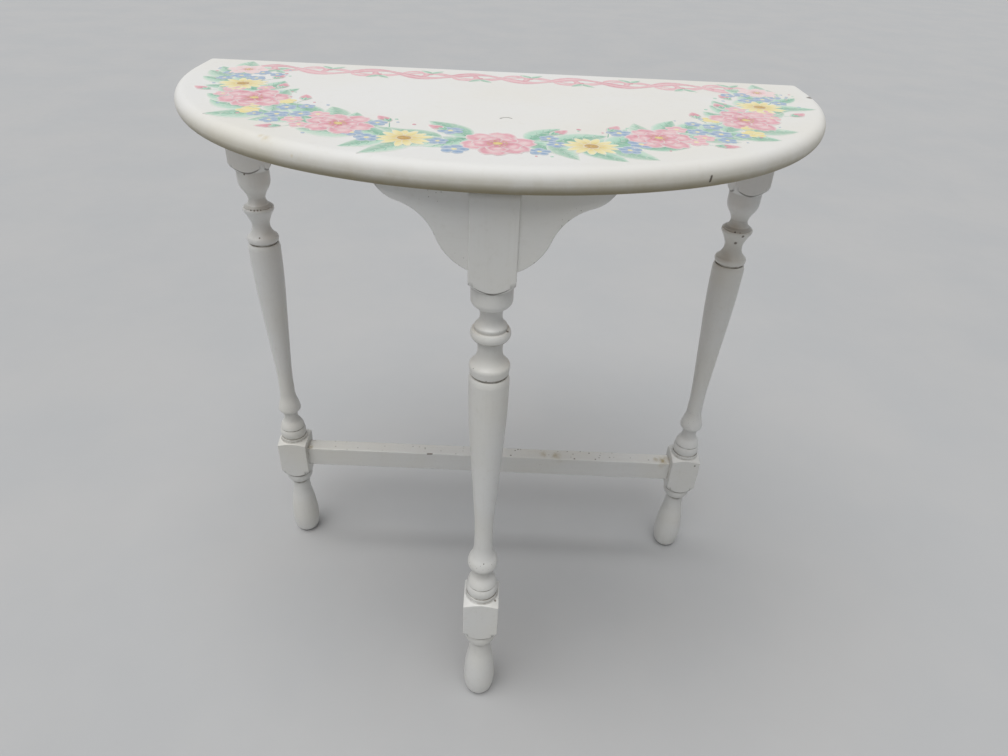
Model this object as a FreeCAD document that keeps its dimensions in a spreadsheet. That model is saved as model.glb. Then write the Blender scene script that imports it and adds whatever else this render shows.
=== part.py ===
import FreeCAD, Part
import math
import os

import Sketcher

# A half-round wall table on three turned legs. The origin is on the floor, under the middle of the
# top's bounding box. +X is to the right seen from the front, +Y is towards the wall, +Z is up.

# Driving dimensions in millimetres, one cell of the sheet each
SIZES = {
    "table_height": 720.0,
    "table_width": 690.0,
    "table_depth": 352.0,
    "top_thickness": 23.0,
    "top_edge_flat": 1.0,
    "top_side_return": 38.0,
    "top_shoulder_radius": 306.0,
    "top_rear_arris": 2.0,
    "rear_leg_inset": 46.0,
    "rear_leg_setback": 34.0,
    "front_leg_setback": 38.0,
    "leg_side": 42.0,
    "upper_block_height": 93.0,
    "lower_block_base": 127.5,
    "lower_block_height": 63.5,
    "cup_radius": 19.4,
    "cup_height": 20.8,
    "upper_neck_radius": 10.4,
    "upper_neck_height": 19.4,
    "bead_radius": 19.4,
    "bead_height": 15.6,
    "lower_neck_radius": 11.9,
    "lower_neck_height": 26.2,
    "collar_radius": 19.9,
    "collar_height": 10.0,
    "groove_radius": 16.9,
    "groove_height": 2.9,
    "shaft_radius": 20.0,
    "shaft_neck_radius": 10.6,
    "bell_radius": 17.5,
    "bell_height": 37.5,
    "waist_radius": 9.9,
    "waist_height": 16.0,
    "saucer_radius": 17.3,
    "saucer_height": 11.0,
    "ring_radius": 18.6,
    "ring_height": 14.4,
    "ring_groove": 1.5,
    "base_fillet_radius": 18.6,
    "base_fillet_height": 3.6,
    "base_cove_height": 2.0,
    "ankle_ring_radius": 19.9,
    "ankle_ring_height": 19.7,
    "ankle_radius": 13.2,
    "ankle_height": 22.0,
    "foot_radius": 20.0,
    "sole_radius": 10.0,
    "bracket_reach": 75.5,
    "bracket_drop": 71.5,
    "bracket_thickness": 20.0,
    "bracket_setback": 2.0,
    "stretcher_height": 31.5,
    "stretcher_thickness": 22.0,
    "stretcher_base": 145.0,
    "stretcher_arris": 1.5,
    "tenon_height": 22.0,
    "tenon_thickness": 10.0,
    "tenon_length": 20.0,
    "apron_depth": 50.0,
    "apron_thickness": 20.0,
    "apron_inset": 3.0,
    "rail_depth": 50.0,
    "rail_thickness": 20.0,
    "glue_block_side": 16.0,
    "glue_block_length": 40.0,
    "glue_block_chamfer": 8.0,
    "dowel_radius": 4.0,
    "dowel_sink": 15.0,
    "dowel_spread": 24.0,
    "bracket_dowel_spread": 30.0,
    "glue_line": 0.1,
    "end_gap": 1.0,
    "screw_radius": 2.0,
    "screw_length": 40.0,
    "screw_tip_length": 6.0,
    "screw_tip_radius": 0.4,
    "screw_head_radius": 4.2,
    "screw_crown_radius": 3.0,
    "screw_head_height": 2.6,
    "screw_slot_width": 1.0,
    "screw_slot_depth": 1.2,
    "screw_spread": 320.0,
    "rail_screw_spread": 140.0,
    "screw_recess_radius": 6.0,
    "screw_recess_depth": 22.0,
    "cut_overrun": 5.0,
}

# Where the turned elements bend, as shares of their own heights and radii
waste_radius_share = 0.75
upper_pommel_share = 1.0
lower_pommel_share = 1.05
block_crown_share = 0.43
cup_straight_share = 0.625
cup_lip_share = 0.67
neck_top_share = 0.635
upper_neck_waist_share = 0.50
neck_foot_share = 0.79
bead_top_share = 0.907
bead_ledge_share = 0.269
bead_foot_share = 0.72
lower_neck_top_share = 0.66
lower_neck_waist_share = 0.408
collar_top_share = 0.955
collar_rim_share = 0.27
collar_foot_share = 0.95
shaft_start_share = 0.92
shaft_shoulder_share = 0.036
shaft_belly_share = 0.40
shaft_belly_radius_share = 0.845
shaft_taper_share = 0.82
shaft_taper_radius_share = 0.55
bell_flare_share = 0.512
bell_flare_radius_share = 0.811
bell_lip_share = 0.827
bell_foot_share = 0.777
waist_top_share = 0.63
waist_middle_share = 0.57
waist_foot_share = 0.72
saucer_groove_share = 0.945
ring_edge_share = 0.91
base_cove_share = 0.95
ankle_ring_top_share = 0.945
ankle_ring_foot_share = 0.734
ankle_foot_share = 1.075
foot_bulge_share = 0.47
sole_start_share = 0.12
sole_start_radius_share = 0.90
bracket_mid_reach_share = 0.361
bracket_mid_rise_share = 0.399
bracket_tip_reach_share = 0.77
bracket_tip_rise_share = 0.819

# Degrees that the top's outline turns by along its shoulder and along the bend after it
top_shoulder_turn = 22.0
top_bend_turn = 44.8

# Two places closer than this are the same place
same_place = 0.001


class Size:
    """A length with its number and the sheet expression that drives it."""

    def __init__(self, number, text):
        self.number = number
        self.text = text

    def __add__(self, other):
        return Size(self.number + other.number, f"({self.text} + {other.text})")

    def __sub__(self, other):
        return Size(self.number - other.number, f"({self.text} - {other.text})")

    def __mul__(self, share):
        return Size(self.number * share, f"({self.text} * {share})")

    def __truediv__(self, share):
        return Size(self.number / share, f"({self.text} / {share})")

    def __neg__(self):
        return Size(-self.number, f"(0 - {self.text})")


ZERO = Size(0.0, "0")

doc = FreeCAD.newDocument("DemiluneTable")
sheet = doc.addObject("Spreadsheet::Sheet", "Sizes")
for row, (alias, value) in enumerate(SIZES.items(), start=1):
    sheet.set(f"A{row}", alias)
    sheet.set(f"B{row}", str(value))
    sheet.setAlias(f"B{row}", alias)
doc.recompute()


def size(alias):
    """The named cell of the sheet as a length."""
    return Size(float(sheet.get(alias)), f"Sizes.{alias}")


def drive(target, name, length):
    """Tie one property of an object to the sheet."""
    target.setExpression(name, length.text)


def place(target, x, y, z):
    """Tie an object's place in the table to the sheet."""
    drive(target, "Placement.Base.x", x)
    drive(target, "Placement.Base.y", y)
    drive(target, "Placement.Base.z", z)


# Places that several pieces share
underside = size("table_height") - size("top_thickness")
rear_edge = size("table_depth") / 2
half_width = size("table_width") / 2
half_side = size("leg_side") / 2
rear_axis = rear_edge - size("rear_leg_setback")
front_axis = size("front_leg_setback") - rear_edge
rear_reach = half_width - size("rear_leg_inset")
apron_rear = rear_axis + half_side - size("apron_inset")
apron_middle = apron_rear - size("apron_thickness") / 2
apron_front = apron_rear - size("apron_thickness")
apron_length = rear_reach * 2 - size("leg_side")
rail_rear_end = apron_front
rail_front_end = front_axis + half_side
rail_length = rail_rear_end - rail_front_end
rail_middle = (rail_front_end + rail_rear_end) / 2
bracket_middle = front_axis - half_side + size("bracket_setback") + size("bracket_thickness") / 2
bracket_rear = bracket_middle + size("bracket_thickness") / 2
dowel_hole_radius = size("dowel_radius") + size("glue_line")
dowel_hole_depth = size("dowel_sink") + size("end_gap")
screw_hole_radius = size("screw_radius") + size("glue_line")
screw_reach = size("screw_length") + size("screw_recess_depth")
overrun = size("cut_overrun")


def new_body(label):
    """An empty body named after its piece."""
    body = doc.addObject("PartDesign::Body", label)
    body.Label = label
    return body


def new_sketch(body, role, lift):
    """An empty sketch on one of the body's own planes, lifted along the plane's normal."""
    sketch = body.newObject("Sketcher::SketchObject", "Sketch")
    plane = [item for item in body.Origin.OriginFeatures if item.Role == role][0]
    sketch.AttachmentSupport = [(plane, "")]
    sketch.MapMode = "FlatFace"
    drive(sketch, "AttachmentOffset.Base.z", lift)
    return sketch


def constrain(sketch, kind, length, name, *items):
    """One dimension of a sketch, tied to the sheet."""
    index = sketch.addConstraint(Sketcher.Constraint(kind, *items, length.number))
    sketch.renameConstraint(index, name)
    drive(sketch, f"Constraints.{name}", length)


def arc_between(start, end, turn):
    """The arc from one corner to the next that turns by so many degrees, positive to the left."""
    chord = end - start
    sagitta = chord.Length / 2 * math.tan(math.radians(turn) / 4)
    side = FreeCAD.Vector(chord.y, -chord.x, 0).normalize()
    return Part.Arc(start, start + chord / 2 + side * sagitta, end)


def arc_radius(corner, following):
    """The radius of the arc from a corner to the following one, from its chord and its turn."""
    across = following[0] - corner[0]
    up = following[1] - corner[1]
    chord_share = 2 * math.sin(math.radians(abs(corner[2])) / 2)
    return Size(math.hypot(across.number, up.number) / chord_share,
                f"sqrt({across.text}^2 + {up.text}^2) / {chord_share}")


def outline(body, role, corners, lift=ZERO):
    """A closed sketch of lines and arcs. A corner is (across, up). Where the edge to the next corner
    is round, a third value is the arc's turn, and a fourth its radius if that is a size by itself."""
    sketch = new_sketch(body, role, lift)
    count = len(corners)
    points = [FreeCAD.Vector(corner[0].number, corner[1].number, 0) for corner in corners]
    for index, corner in enumerate(corners):
        start, end = points[index], points[(index + 1) % count]
        round_edge = len(corner) > 2
        shape = arc_between(start, end, corner[2]) if round_edge else Part.LineSegment(start, end)
        sketch.addGeometry(shape, False)
    # A sketched arc always runs to the left, so one that turns right starts at its second point
    first = [2 if len(corner) > 2 and corner[2] < 0 else 1 for corner in corners]
    last = [3 - point for point in first]
    for index, corner in enumerate(corners):
        after = (index + 1) % count
        sketch.addConstraint(Sketcher.Constraint("Coincident", index, last[index], after, first[after]))
        constrain(sketch, "DistanceX", corner[0], f"across_{index}", -1, 1, index, first[index])
        constrain(sketch, "DistanceY", corner[1], f"up_{index}", -1, 1, index, first[index])
        if len(corner) > 2:
            radius = corner[3] if len(corner) > 3 else arc_radius(corner, corners[after])
            constrain(sketch, "Radius", radius, f"radius_{index}", index)
    return sketch


def circles(body, role, spots, radius, lift):
    """A sketch of equal circles."""
    sketch = new_sketch(body, role, lift)
    for index, (across, up) in enumerate(spots):
        middle = FreeCAD.Vector(across.number, up.number, 0)
        sketch.addGeometry(Part.Circle(middle, FreeCAD.Vector(0, 0, 1), radius.number), False)
        constrain(sketch, "DistanceX", across, f"across_{index}", -1, 1, index, 3)
        constrain(sketch, "DistanceY", up, f"up_{index}", -1, 1, index, 3)
        constrain(sketch, "Radius", radius, f"radius_{index}", index)
    return sketch


def box_corners(half_across, low, high):
    """A rectangle that stands over the middle of its sketch."""
    return [(-half_across, low), (half_across, low), (half_across, high), (-half_across, high)]


def pad(body, sketch, length, midplane=False):
    """A sketch drawn out to a length."""
    feature = body.newObject("PartDesign::Pad", "Pad")
    feature.Profile = sketch
    feature.Midplane = midplane
    drive(feature, "Length", length)
    doc.recompute()
    return feature


def pocket(body, sketch, depth, along_normal):
    """A sketch cut into the body, along its plane's normal or against it."""
    feature = body.newObject("PartDesign::Pocket", "Pocket")
    feature.Profile = sketch
    feature.Reversed = along_normal
    drive(feature, "Length", depth)
    doc.recompute()
    return feature


def turn_away(body, corners):
    """The waste beside a turned outline, cut away all round the upright axis."""
    sketch = outline(body, "XZ_Plane", corners)
    feature = body.newObject("PartDesign::Groove", "Groove")
    feature.Profile = sketch
    feature.ReferenceAxis = (sketch, ["V_Axis"])
    feature.Angle = 360
    doc.recompute()
    return feature


def soften(body, feature, radius, wanted):
    """A fillet on the edges of a feature that pass a test."""
    names = [f"Edge{number}" for number, edge in enumerate(feature.Shape.Edges, start=1) if wanted(edge)]
    fillet = body.newObject("PartDesign::Fillet", "Fillet")
    fillet.Base = (feature, names)
    drive(fillet, "Radius", radius)
    doc.recompute()
    return fillet


def pair(middle, spread):
    """Two places either side of a middle."""
    return [middle - spread / 2, middle + spread / 2]


# Heights of the paired dowels
apron_dowel_levels = pair(underside - size("apron_depth") / 2, size("dowel_spread"))
rail_dowel_levels = pair(underside - size("rail_depth") / 2, size("dowel_spread"))
bracket_dowel_levels = pair(underside - size("bracket_drop") / 2, size("bracket_dowel_spread"))


def make_top():
    """The half-round top: a straight rear edge, short side returns, and on each side a shoulder and a
    bend that run into one front arc, all tangent."""
    body = new_body("top_panel")
    shoulder = size("top_shoulder_radius")
    side_return = rear_edge - size("top_side_return")
    turn = math.radians(top_shoulder_turn)
    shoulder_across, shoulder_along = 1 - math.cos(turn), math.sin(turn)
    turn += math.radians(top_bend_turn)
    front_across, front_along = math.cos(turn), 1 - math.sin(turn)
    bend_across = 1 - shoulder_across - front_across
    bend_along = 1 - shoulder_along - front_along
    # The bend and the front arc share what the shoulder leaves of the half width and of the depth
    spare_across = half_width - shoulder * shoulder_across
    spare_along = side_return + rear_edge - shoulder * shoulder_along
    scale = bend_across * front_along - bend_along * front_across
    bend = (spare_across * front_along - spare_along * front_across) / scale
    front = (spare_along * bend_across - spare_across * bend_along) / scale
    bend_start = side_return - shoulder * shoulder_along
    front_start = bend_start - bend * bend_along
    front_reach = spare_across - bend * bend_across
    front_turn = 180 - 2 * (top_shoulder_turn + top_bend_turn)
    corners = [
        (half_width, rear_edge),
        (-half_width, rear_edge),
        (-half_width, side_return, top_shoulder_turn, shoulder),
        (-spare_across, bend_start, top_bend_turn, bend),
        (-front_reach, front_start, front_turn, front),
        (front_reach, front_start, top_bend_turn, bend),
        (spare_across, bend_start, top_shoulder_turn, shoulder),
        (half_width, side_return),
    ]
    panel = pad(body, outline(body, "XY_Plane", corners), size("top_thickness"))
    rear_line = rear_edge.number - same_place
    edge_radius = (size("top_thickness") - size("top_edge_flat")) / 2

    def on_curved_rim(edge):
        level = max(point.Z for point in edge.Vertexes) - min(point.Z for point in edge.Vertexes)
        return level < same_place and min(point.Y for point in edge.Vertexes) < rear_line

    bullnose = soften(body, panel, edge_radius, on_curved_rim)

    def on_rear_face(edge):
        return min(point.Y for point in edge.Vertexes) > rear_line

    soften(body, bullnose, size("top_rear_arris"), on_rear_face)
    spots = [(x, apron_middle) for x in pair(ZERO, size("screw_spread"))]
    spots += [(ZERO, y) for y in pair(rail_middle, size("rail_screw_spread"))]
    hole_depth = screw_reach - size("apron_depth") + size("end_gap")
    pocket(body, circles(body, "XY_Plane", spots, screw_hole_radius, ZERO), hole_depth, True)
    place(body, ZERO, ZERO, underside)
    return body


def spindle_corners():
    """The turned outline between the blocks, from the top down. Beads turn right, coves turn left."""
    waste = size("leg_side") * waste_radius_share
    cup, neck, bead = size("cup_radius"), size("upper_neck_radius"), size("bead_radius")
    low_neck, collar, groove = size("lower_neck_radius"), size("collar_radius"), size("groove_radius")
    shaft, slim, bell = size("shaft_radius"), size("shaft_neck_radius"), size("bell_radius")
    waist, saucer, ring = size("waist_radius"), size("saucer_radius"), size("ring_radius")
    fillet = size("base_fillet_radius")
    block_foot = underside - size("upper_block_height")
    cup_foot = block_foot - size("cup_height")
    neck_foot = cup_foot - size("upper_neck_height")
    neck_waist = cup_foot - size("upper_neck_height") * upper_neck_waist_share
    bead_ledge = neck_foot - size("bead_height") * bead_ledge_share
    bead_foot = neck_foot - size("bead_height")
    low_neck_foot = bead_foot - size("lower_neck_height")
    low_neck_waist = bead_foot - size("lower_neck_height") * lower_neck_waist_share
    collar_foot = low_neck_foot - size("collar_height")
    shaft_top = collar_foot - size("groove_height")
    block_top = size("lower_block_base") + size("lower_block_height")
    fillet_foot = block_top + size("base_cove_height")
    fillet_top = fillet_foot + size("base_fillet_height")
    ring_top = fillet_top + size("ring_height")
    saucer_foot = ring_top + size("ring_groove")
    waist_foot = saucer_foot + size("saucer_height")
    waist_middle = waist_foot + size("waist_height") * waist_middle_share
    bell_foot = waist_foot + size("waist_height")
    shaft_foot = bell_foot + size("bell_height")
    shaft_length = shaft_top - shaft_foot
    return [
        (waste, block_foot + (waste - cup) * upper_pommel_share),
        (cup, block_foot),
        (cup, block_foot - size("cup_height") * cup_straight_share, -78),
        (cup * cup_lip_share, cup_foot),
        (cup * neck_top_share, cup_foot, 22),
        (neck, neck_waist, 54),
        (bead * neck_foot_share, neck_foot),
        (bead * neck_foot_share, bead_ledge),
        (bead * bead_top_share, bead_ledge, -110),
        (bead * bead_foot_share, bead_foot),
        (bead * lower_neck_top_share, bead_foot, 10),
        (low_neck, low_neck_waist, 54),
        (collar * collar_top_share, low_neck_foot, -20),
        (collar, low_neck_foot - size("collar_height") * collar_rim_share),
        (collar * collar_foot_share, collar_foot),
        (groove, collar_foot),
        (groove, shaft_top),
        (shaft * shaft_start_share, shaft_top, -30),
        (shaft, shaft_top - shaft_length * shaft_shoulder_share, -4),
        (shaft * shaft_belly_radius_share, shaft_top - shaft_length * shaft_belly_share),
        (shaft * shaft_taper_radius_share, shaft_top - shaft_length * shaft_taper_share, 5),
        (slim, shaft_foot, 24),
        (bell * bell_flare_radius_share, shaft_foot - size("bell_height") * bell_flare_share, -31),
        (bell, shaft_foot - size("bell_height") * bell_lip_share, -64),
        (bell * bell_foot_share, bell_foot),
        (bell * waist_top_share, bell_foot, 20),
        (waist, waist_middle, 35),
        (saucer * waist_foot_share, waist_foot, -30),
        (saucer, saucer_foot),
        (saucer * saucer_groove_share, saucer_foot),
        (saucer * saucer_groove_share, ring_top),
        (ring * ring_edge_share, ring_top, -55),
        (ring * ring_edge_share, fillet_top),
        (fillet, fillet_top),
        (fillet, fillet_foot, 30),
        (half_side * base_cove_share, block_top),
        (waste, block_top - (waste - half_side * base_cove_share) * block_crown_share),
    ]


def foot_corners():
    """The turned outline from the lower block down to the floor."""
    waste = size("leg_side") * waste_radius_share
    ring, ankle, foot, sole = [size(name) for name in
                               ("ankle_ring_radius", "ankle_radius", "foot_radius", "sole_radius")]
    block_foot = size("lower_block_base")
    pinch = ring * ankle_ring_top_share
    ring_top = block_foot - (half_side - pinch) * lower_pommel_share
    ring_foot = ring_top - size("ankle_ring_height")
    ankle_foot = ring_foot - size("ankle_height")
    return [
        (waste, block_foot + (waste - half_side) * lower_pommel_share),
        (pinch, ring_top, -62),
        (ring * ankle_ring_foot_share, ring_foot),
        (ankle, ring_foot, 9),
        (ankle * ankle_foot_share, ankle_foot, -9),
        (foot, ankle_foot * foot_bulge_share, -17),
        (foot * sole_start_radius_share, ankle_foot * sole_start_share, -52),
        (sole, ZERO),
        (sole, -overrun),
        (waste, -overrun),
    ]


def make_leg(label, x, y):
    """A square blank with the spindle and the foot turned out of it."""
    body = new_body(label)
    pad(body, outline(body, "XY_Plane", box_corners(half_side, -half_side, half_side)), underside)
    turn_away(body, spindle_corners())
    turn_away(body, foot_corners())
    place(body, x, y, ZERO)
    return body


def make_front_leg():
    """The front leg, bored for the dowels of both brackets and of the rail."""
    body = make_leg("front_leg", ZERO, front_axis)
    spots = [(bracket_middle - front_axis, level) for level in bracket_dowel_levels]
    for side in (-1, 1):
        sketch = circles(body, "YZ_Plane", spots, dowel_hole_radius, half_side * side)
        pocket(body, sketch, dowel_hole_depth, side < 0)
    spots = [(ZERO, level) for level in rail_dowel_levels]
    pocket(body, circles(body, "XZ_Plane", spots, dowel_hole_radius, -half_side), dowel_hole_depth, True)
    return body


def make_rear_leg(label, side):
    """A rear leg, bored for the apron's dowels and mortised for the stretcher."""
    body = make_leg(label, rear_reach * side, rear_axis)
    inner_face = half_side * -side
    spots = [(apron_middle - rear_axis, level) for level in apron_dowel_levels]
    sketch = circles(body, "YZ_Plane", spots, dowel_hole_radius, inner_face)
    pocket(body, sketch, dowel_hole_depth, side > 0)
    middle = size("stretcher_base") + size("stretcher_height") / 2
    mortise_half = size("tenon_height") / 2 + size("glue_line")
    corners = box_corners(size("tenon_thickness") / 2 + size("glue_line"),
                          middle - mortise_half, middle + mortise_half)
    sketch = outline(body, "YZ_Plane", corners, inner_face)
    pocket(body, sketch, size("tenon_length") + size("end_gap"), side > 0)
    return body


def make_bracket(label, side):
    """An ogee bracket: a belly beside the block, a cove, and a small roll at its tip."""
    body = new_body(label)
    reach, drop = size("bracket_reach"), size("bracket_drop")
    corners = [
        (ZERO, ZERO),
        (ZERO, -drop, 46 * side),
        (reach * bracket_mid_reach_share * side, drop * (bracket_mid_rise_share - 1), -52 * side),
        (reach * bracket_tip_reach_share * side, drop * (bracket_tip_rise_share - 1), 40 * side),
        (reach * side, ZERO),
    ]
    pad(body, outline(body, "XZ_Plane", corners), size("bracket_thickness"), True)
    spots = [(ZERO, level - underside) for level in bracket_dowel_levels]
    pocket(body, circles(body, "YZ_Plane", spots, dowel_hole_radius, ZERO), dowel_hole_depth, side > 0)
    place(body, half_side * side, bracket_middle, underside)
    return body


def make_stretcher():
    """The bar between the rear legs, with a tenon at each end."""
    body = new_body("rear_stretcher")
    height, half_thickness = size("stretcher_height"), size("stretcher_thickness") / 2
    section = box_corners(half_thickness, -(height / 2), height / 2)
    bar = pad(body, outline(body, "YZ_Plane", section), apron_length, True)

    def runs_along(edge):
        return abs(edge.Vertexes[0].X - edge.Vertexes[-1].X) > same_place

    soften(body, bar, size("stretcher_arris"), runs_along)
    half_tenon = size("tenon_height") / 2
    section = box_corners(size("tenon_thickness") / 2, -half_tenon, half_tenon)
    pad(body, outline(body, "YZ_Plane", section), apron_length + size("tenon_length") * 2, True)
    place(body, ZERO, rear_axis, size("stretcher_base") + height / 2)
    return body


def screw_holes(body, spots, depth):
    """Holes for the top's screws: a clearance hole right through, and a recess from below."""
    through = circles(body, "XY_Plane", spots, screw_hole_radius, -overrun)
    pocket(body, through, depth + overrun * 2, True)
    recess = circles(body, "XY_Plane", spots, size("screw_recess_radius"), ZERO)
    pocket(body, recess, size("screw_recess_depth"), True)


def make_apron():
    """The rail between the rear legs' upper blocks."""
    body = new_body("rear_apron")
    depth, half_thickness = size("apron_depth"), size("apron_thickness") / 2
    plan = box_corners(apron_length / 2, -half_thickness, half_thickness)
    pad(body, outline(body, "XY_Plane", plan), depth)
    foot = underside - depth
    spots = [(ZERO, level - foot) for level in apron_dowel_levels]
    for side in (-1, 1):
        sketch = circles(body, "YZ_Plane", spots, dowel_hole_radius, apron_length / 2 * side)
        pocket(body, sketch, dowel_hole_depth, side < 0)
    spots = [(ZERO, level - foot) for level in rail_dowel_levels]
    sketch = circles(body, "XZ_Plane", spots, dowel_hole_radius, half_thickness)
    pocket(body, sketch, dowel_hole_depth, False)
    screw_holes(body, [(x, ZERO) for x in pair(ZERO, size("screw_spread"))], depth)
    place(body, ZERO, apron_middle, foot)
    return body


def make_rail():
    """The rail from the front leg's upper block back to the apron."""
    body = new_body("center_rail")
    depth, half_length = size("rail_depth"), rail_length / 2
    plan = box_corners(size("rail_thickness") / 2, -half_length, half_length)
    pad(body, outline(body, "XY_Plane", plan), depth)
    foot = underside - depth
    spots = [(ZERO, level - foot) for level in rail_dowel_levels]
    for side in (-1, 1):
        sketch = circles(body, "XZ_Plane", spots, dowel_hole_radius, half_length * side)
        pocket(body, sketch, dowel_hole_depth, side < 0)
    screw_holes(body, [(ZERO, y) for y in pair(ZERO, size("rail_screw_spread"))], depth)
    place(body, ZERO, rail_front_end + half_length, foot)
    return body


def make_glue_block(label, x, y, side, back):
    """A block glued into an inside corner under the top. It lies along X from its corner, towards
    side, and its free lower edge, on the back side, is bevelled."""
    body = new_body(label)
    block, bevel = size("glue_block_side"), size("glue_block_chamfer")
    corners = [
        (ZERO, ZERO),
        (ZERO, -block),
        ((block - bevel) * back, -block),
        (block * back, bevel - block),
        (block * back, ZERO),
    ]
    feature = pad(body, outline(body, "YZ_Plane", corners), size("glue_block_length"))
    feature.Reversed = side < 0
    place(body, x, y, underside)
    return body


def make_dowels(label, spots, axis):
    """Dowels that lie along one axis, half in each of the two pieces they join."""
    dowels = []
    length = size("dowel_sink") * 2
    turned = FreeCAD.Rotation(FreeCAD.Vector(0, 0, 1), axis)
    for x, y, z in spots:
        dowel = doc.addObject("Part::Cylinder", "Dowel")
        dowel.Placement.Rotation = turned
        drive(dowel, "Radius", size("dowel_radius"))
        drive(dowel, "Height", length)
        place(dowel, x - size("dowel_sink") * axis.x, y - size("dowel_sink") * axis.y, z)
        dowels.append(dowel)
    group = doc.addObject("Part::Compound", label)
    group.Links = dowels
    group.Label = label
    return group


def make_screw(x, y, z):
    """A slotted wood screw that points up, with the seat of its round head at the given place."""
    shank_length = size("screw_length") - size("screw_tip_length")
    head = doc.addObject("Part::Cone", "ScrewHead")
    drive(head, "Radius1", size("screw_crown_radius"))
    drive(head, "Radius2", size("screw_head_radius"))
    drive(head, "Height", size("screw_head_height"))
    drive(head, "Placement.Base.z", -size("screw_head_height"))
    shank = doc.addObject("Part::Cylinder", "ScrewShank")
    drive(shank, "Radius", size("screw_radius"))
    drive(shank, "Height", shank_length)
    tip = doc.addObject("Part::Cone", "ScrewTip")
    drive(tip, "Radius1", size("screw_radius"))
    drive(tip, "Radius2", size("screw_tip_radius"))
    drive(tip, "Height", size("screw_tip_length"))
    drive(tip, "Placement.Base.z", shank_length)
    whole = doc.addObject("Part::MultiFuse", "ScrewBlank")
    whole.Shapes = [head, shank, tip]
    slot = doc.addObject("Part::Box", "ScrewSlot")
    drive(slot, "Length", size("screw_head_radius") * 2)
    drive(slot, "Width", size("screw_slot_width"))
    drive(slot, "Height", size("screw_slot_depth") + overrun)
    place(slot, -size("screw_head_radius"), -(size("screw_slot_width") / 2),
          -(size("screw_head_height") + overrun))
    screw = doc.addObject("Part::Cut", "Screw")
    screw.Base = whole
    screw.Tool = slot
    place(screw, x, y, z)
    return screw


def make_screws(label, spots):
    """Screws that hold the top, each with its head on the floor of its recess."""
    depth_up = underside - size("apron_depth") + size("screw_recess_depth")
    group = doc.addObject("Part::Compound", label)
    group.Links = [make_screw(x, y, depth_up) for x, y in spots]
    group.Label = label
    return group


SIDES = (("left", -1), ("right", 1))
ALONG_X = FreeCAD.Vector(1, 0, 0)
ALONG_Y = FreeCAD.Vector(0, 1, 0)
pieces = [make_top(), make_front_leg(), make_apron(), make_rail(), make_stretcher()]
for name, side in SIDES:
    pieces.append(make_rear_leg(f"rear_leg_{name}", side))
    pieces.append(make_bracket(f"front_bracket_{name}", side))
    pieces.append(make_glue_block(f"glue_block_front_{name}", half_side * side, bracket_rear, side, 1))
    rear_corner = (rear_reach - half_side) * side
    pieces.append(make_glue_block(f"glue_block_rear_{name}", rear_corner, apron_front, -side, -1))
    spots = [(rear_corner, apron_middle, level) for level in apron_dowel_levels]
    pieces.append(make_dowels(f"apron_dowels_{name}", spots, ALONG_X))
    spots = [(half_side * side, bracket_middle, level) for level in bracket_dowel_levels]
    pieces.append(make_dowels(f"bracket_dowels_{name}", spots, ALONG_X))
for name, end in (("front", rail_front_end), ("rear", rail_rear_end)):
    spots = [(ZERO, end, level) for level in rail_dowel_levels]
    pieces.append(make_dowels(f"rail_dowels_{name}", spots, ALONG_Y))
spots = [(x, apron_middle) for x in pair(ZERO, size("screw_spread"))]
pieces.append(make_screws("apron_screws", spots))
spots = [(ZERO, y) for y in pair(rail_middle, size("rail_screw_spread"))]
pieces.append(make_screws("rail_screws", spots))
doc.recompute()

# Nothing is written unless every object is sound and every cut took something away
for item in doc.Objects:
    if "Invalid" in item.State or "Error" in item.State:
        raise RuntimeError(f"{item.Label} failed: {item.State}")
    if item.TypeId in ("PartDesign::Pocket", "PartDesign::Groove"):
        if item.Shape.Volume > item.BaseFeature.Shape.Volume - same_place:
            raise RuntimeError(f"{item.Label} cuts nothing")
for piece in pieces:
    if piece.Shape.isNull() or not piece.Shape.isValid():
        raise RuntimeError(f"{piece.Label} has no sound shape")

os.makedirs("parts", exist_ok=True)
for piece in pieces:
    piece.Shape.exportStep(f"parts/{piece.Label}.step")
    print(piece.Label, len(piece.Shape.Solids), round(piece.Shape.Volume))
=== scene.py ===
import random
from math import atan2, cos, degrees, hypot, pi, radians, sin, sqrt

import bmesh
import bpy
import numpy as np
from mathutils import Matrix


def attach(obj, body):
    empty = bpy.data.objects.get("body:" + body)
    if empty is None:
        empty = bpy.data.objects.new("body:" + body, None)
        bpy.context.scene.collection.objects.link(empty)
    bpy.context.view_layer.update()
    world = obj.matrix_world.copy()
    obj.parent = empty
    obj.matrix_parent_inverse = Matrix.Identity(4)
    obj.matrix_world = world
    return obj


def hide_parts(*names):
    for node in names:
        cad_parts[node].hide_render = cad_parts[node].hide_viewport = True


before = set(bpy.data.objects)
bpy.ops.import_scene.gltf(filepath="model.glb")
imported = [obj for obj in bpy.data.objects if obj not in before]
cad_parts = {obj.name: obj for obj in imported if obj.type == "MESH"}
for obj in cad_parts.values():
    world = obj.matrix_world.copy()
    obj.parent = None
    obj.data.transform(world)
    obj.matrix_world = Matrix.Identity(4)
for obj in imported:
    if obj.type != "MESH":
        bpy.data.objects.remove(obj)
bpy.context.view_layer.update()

# A painted half-round wall table on three turned legs, seen a little from above. Lengths are in
# millimetres up to the point where a mesh is made, and in metres there.
MM = 0.001
TOP, UNDERSIDE = 720.0, 697.0
# Half the top's width, its straight rear edge, and half the side of a leg's blocks
HALF_WIDTH, REAR, HALF_SIDE = 345.0, 176.0, 21.0
# The legs' axes: depths of the front one and the rear pair, and how far out the pair stands
FRONT_AXIS, REAR_AXIS, REAR_REACH = -138.0, 142.0, 299.0
# Cuts under the blocks: height and radius at the end of each, and its slope
BLOCK_CUTS = (604.0, 19.4, 1.0), (125.2, 18.8, 1.05)
# The stretcher's height at its middle and along its upper face
BAR_LEVEL, BAR_TOP = 160.75, 176.5
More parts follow.
